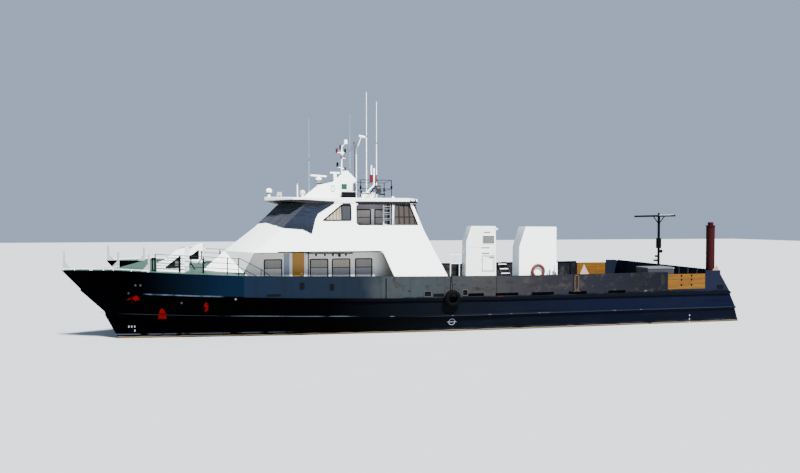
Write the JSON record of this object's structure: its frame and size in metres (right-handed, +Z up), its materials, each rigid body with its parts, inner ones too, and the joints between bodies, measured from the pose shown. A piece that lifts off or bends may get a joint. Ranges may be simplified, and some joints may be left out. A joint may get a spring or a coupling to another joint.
{
  "type": "offshore supply vessel",
  "caption": "Catamaran offshore supply vessel with a forward deckhouse under a sloping front, an open cargo deck aft between bulwarks, engine casings, roof mast and twin screws.",
  "frame": {"origin": "on the waterline, on the centreline, midway between the bow tips and the transoms", "axes": "+X towards the bow, +Y to port, +Z up"},
  "size_m": [33.8, 10.2507, 13.9905],
  "materials": {
    "hull": "navy paint, worn",
    "bulwark": "blue paint, faded and scraped",
    "deck": "green non-slip deck paint",
    "white": "white gloss paint",
    "ochre": "ochre door paint",
    "cover": "slate-blue canvas",
    "black": "black paint",
    "grey": "grey paint",
    "yellow": "yellow paint, scuffed",
    "red": "red paint",
    "orange": "sun-faded orange",
    "bronze": "cast bronze",
    "rubber": "old rubber",
    "slats": "brown slats",
    "glass": "dark tinted glass"
  },
  "bodies": {
    "vessel": {"hull_port": "hull", "hull_starboard": "hull", "bridge_deck": "deck", "foredeck": "deck", "bulwark_port": "bulwark", "bulwark_starboard": "bulwark", "stern_bulwark": "bulwark", "house_front": "white", "upper_deck": "deck", "side_plate_port": "white", "side_plate_starboard": "white", "lower_house": "white", "wheelhouse": "white", "roof": "white", "windscreen_cover": "cover", "casing_port": "white", "casing_starboard": "white", "hood_port": "white", "hood_starboard": "white", "steps_port": "grey", "steps_starboard": "grey", "boarding_steps_port": "white", "boarding_steps_starboard": "white", "bow_rail_port": "grey", "bow_rail_starboard": "grey", "mooring_stand_port": "black", "mooring_stand_starboard": "black", "mast_housing": "white", "signal_mast": "white", "aerial_1": "white", "aerial_2": "white", "aerial_3": "white", "aerial_4": "white", "roof_rail": "black", "wing_ladder": "white", "wing_screen_port": "slats", "wing_screen_starboard": "slats", "stern_mast": "black", "quarter_post": "red", "deck_box": "grey", "lifebuoy": "orange", "tyre_fender": "rubber", "shaft_line_port": "grey", "shaft_line_starboard": "grey"},
    "gate_port": {"gate_port": "yellow"},
    "gate_starboard": {"gate_starboard": "yellow"},
    "side_door_port": {"side_door_port": "ochre"},
    "side_door_starboard": {"side_door_starboard": "ochre"},
    "after_door": {"after_door": "white"},
    "wheelhouse_door": {"wheelhouse_door": "white"},
    "casing_hatch_port": {"casing_hatch_port": "white"},
    "casing_hatch_starboard": {"casing_hatch_starboard": "white"},
    "hood_door_port": {"hood_door_port": "white"},
    "hood_door_starboard": {"hood_door_starboard": "white"},
    "scanner_fore": {"scanner_fore": "white"},
    "scanner_aft": {"scanner_aft": "white"},
    "propeller_port": {"propeller_port": "bronze"},
    "propeller_starboard": {"propeller_starboard": "bronze"},
    "rudder_port": {"rudder_port": "hull"},
    "rudder_starboard": {"rudder_starboard": "hull"}
  },
  "joints": [
    {"name": "gate_port_lift", "type": "slide", "parent": "vessel", "child": "gate_port", "axis": [0, 0, 1], "range_m": [0, 0.8]},
    {"name": "gate_starboard_lift", "type": "slide", "parent": "vessel", "child": "gate_starboard", "axis": [0, 0, 1], "range_m": [0, 0.8]},
    {"name": "side_door_port_hinge", "type": "hinge", "parent": "vessel", "child": "side_door_port", "pos_m": [6.775, 3.9683, 2.9], "axis": [0, 0, -1], "range_deg": [0, 95]},
    {"name": "side_door_starboard_hinge", "type": "hinge", "parent": "vessel", "child": "side_door_starboard", "pos_m": [6.775, -3.9683, 2.9], "axis": [0, 0, 1], "range_deg": [0, 95]},
    {"name": "after_door_hinge", "type": "hinge", "parent": "vessel", "child": "after_door", "pos_m": [0.5817, 0.385, 2.8], "axis": [0, 0, -1], "range_deg": [0, 95]},
    {"name": "wheelhouse_door_hinge", "type": "hinge", "parent": "vessel", "child": "wheelhouse_door", "pos_m": [2.0317, 0.375, 5], "axis": [0, 0, -1], "range_deg": [0, 95]},
    {"name": "casing_hatch_port_hinge", "type": "hinge", "parent": "vessel", "child": "casing_hatch_port", "pos_m": [-5.505, 3.8117, 2.7], "axis": [0, 0, 1], "range_deg": [0, 100]},
    {"name": "casing_hatch_starboard_hinge", "type": "hinge", "parent": "vessel", "child": "casing_hatch_starboard", "pos_m": [-5.505, -3.8117, 2.7], "axis": [0, 0, -1], "range_deg": [0, 100]},
    {"name": "hood_door_port_hinge", "type": "hinge", "parent": "vessel", "child": "hood_door_port", "pos_m": [11.5317, 3.765, 3.55], "axis": [0, 0, -1], "range_deg": [0, 95]},
    {"name": "hood_door_starboard_hinge", "type": "hinge", "parent": "vessel", "child": "hood_door_starboard", "pos_m": [11.5317, -3.765, 3.55], "axis": [0, 0, 1], "range_deg": [0, 95]},
    {"name": "scanner_fore_spin", "type": "hinge", "parent": "vessel", "child": "scanner_fore", "pos_m": [5.2, 0, 7.8], "axis": [0, 0, 1], "continuous": true},
    {"name": "scanner_aft_spin", "type": "hinge", "parent": "vessel", "child": "scanner_aft", "pos_m": [4.31, 0, 7.98], "axis": [0, 0, 1], "continuous": true},
    {"name": "propeller_port_spin", "type": "hinge", "parent": "vessel", "child": "propeller_port", "pos_m": [-14.93, 3.4, -1.06], "axis": [1, 0, 0], "continuous": true},
    {"name": "propeller_starboard_spin", "type": "hinge", "parent": "vessel", "child": "propeller_starboard", "pos_m": [-14.93, -3.4, -1.06], "axis": [1, 0, 0], "continuous": true},
    {"name": "rudder_port_turn", "type": "hinge", "parent": "vessel", "child": "rudder_port", "pos_m": [-16.08, 3.4, -1], "axis": [0, 0, 1], "range_deg": [-35, 35]},
    {"name": "rudder_starboard_turn", "type": "hinge", "parent": "vessel", "child": "rudder_starboard", "pos_m": [-16.08, -3.4, -1], "axis": [0, 0, 1], "range_deg": [-35, 35]}
  ],
  "couplings": [
    {"joint": "rudder_starboard_turn", "follows": "rudder_port_turn", "ratio": 1}
  ]
}
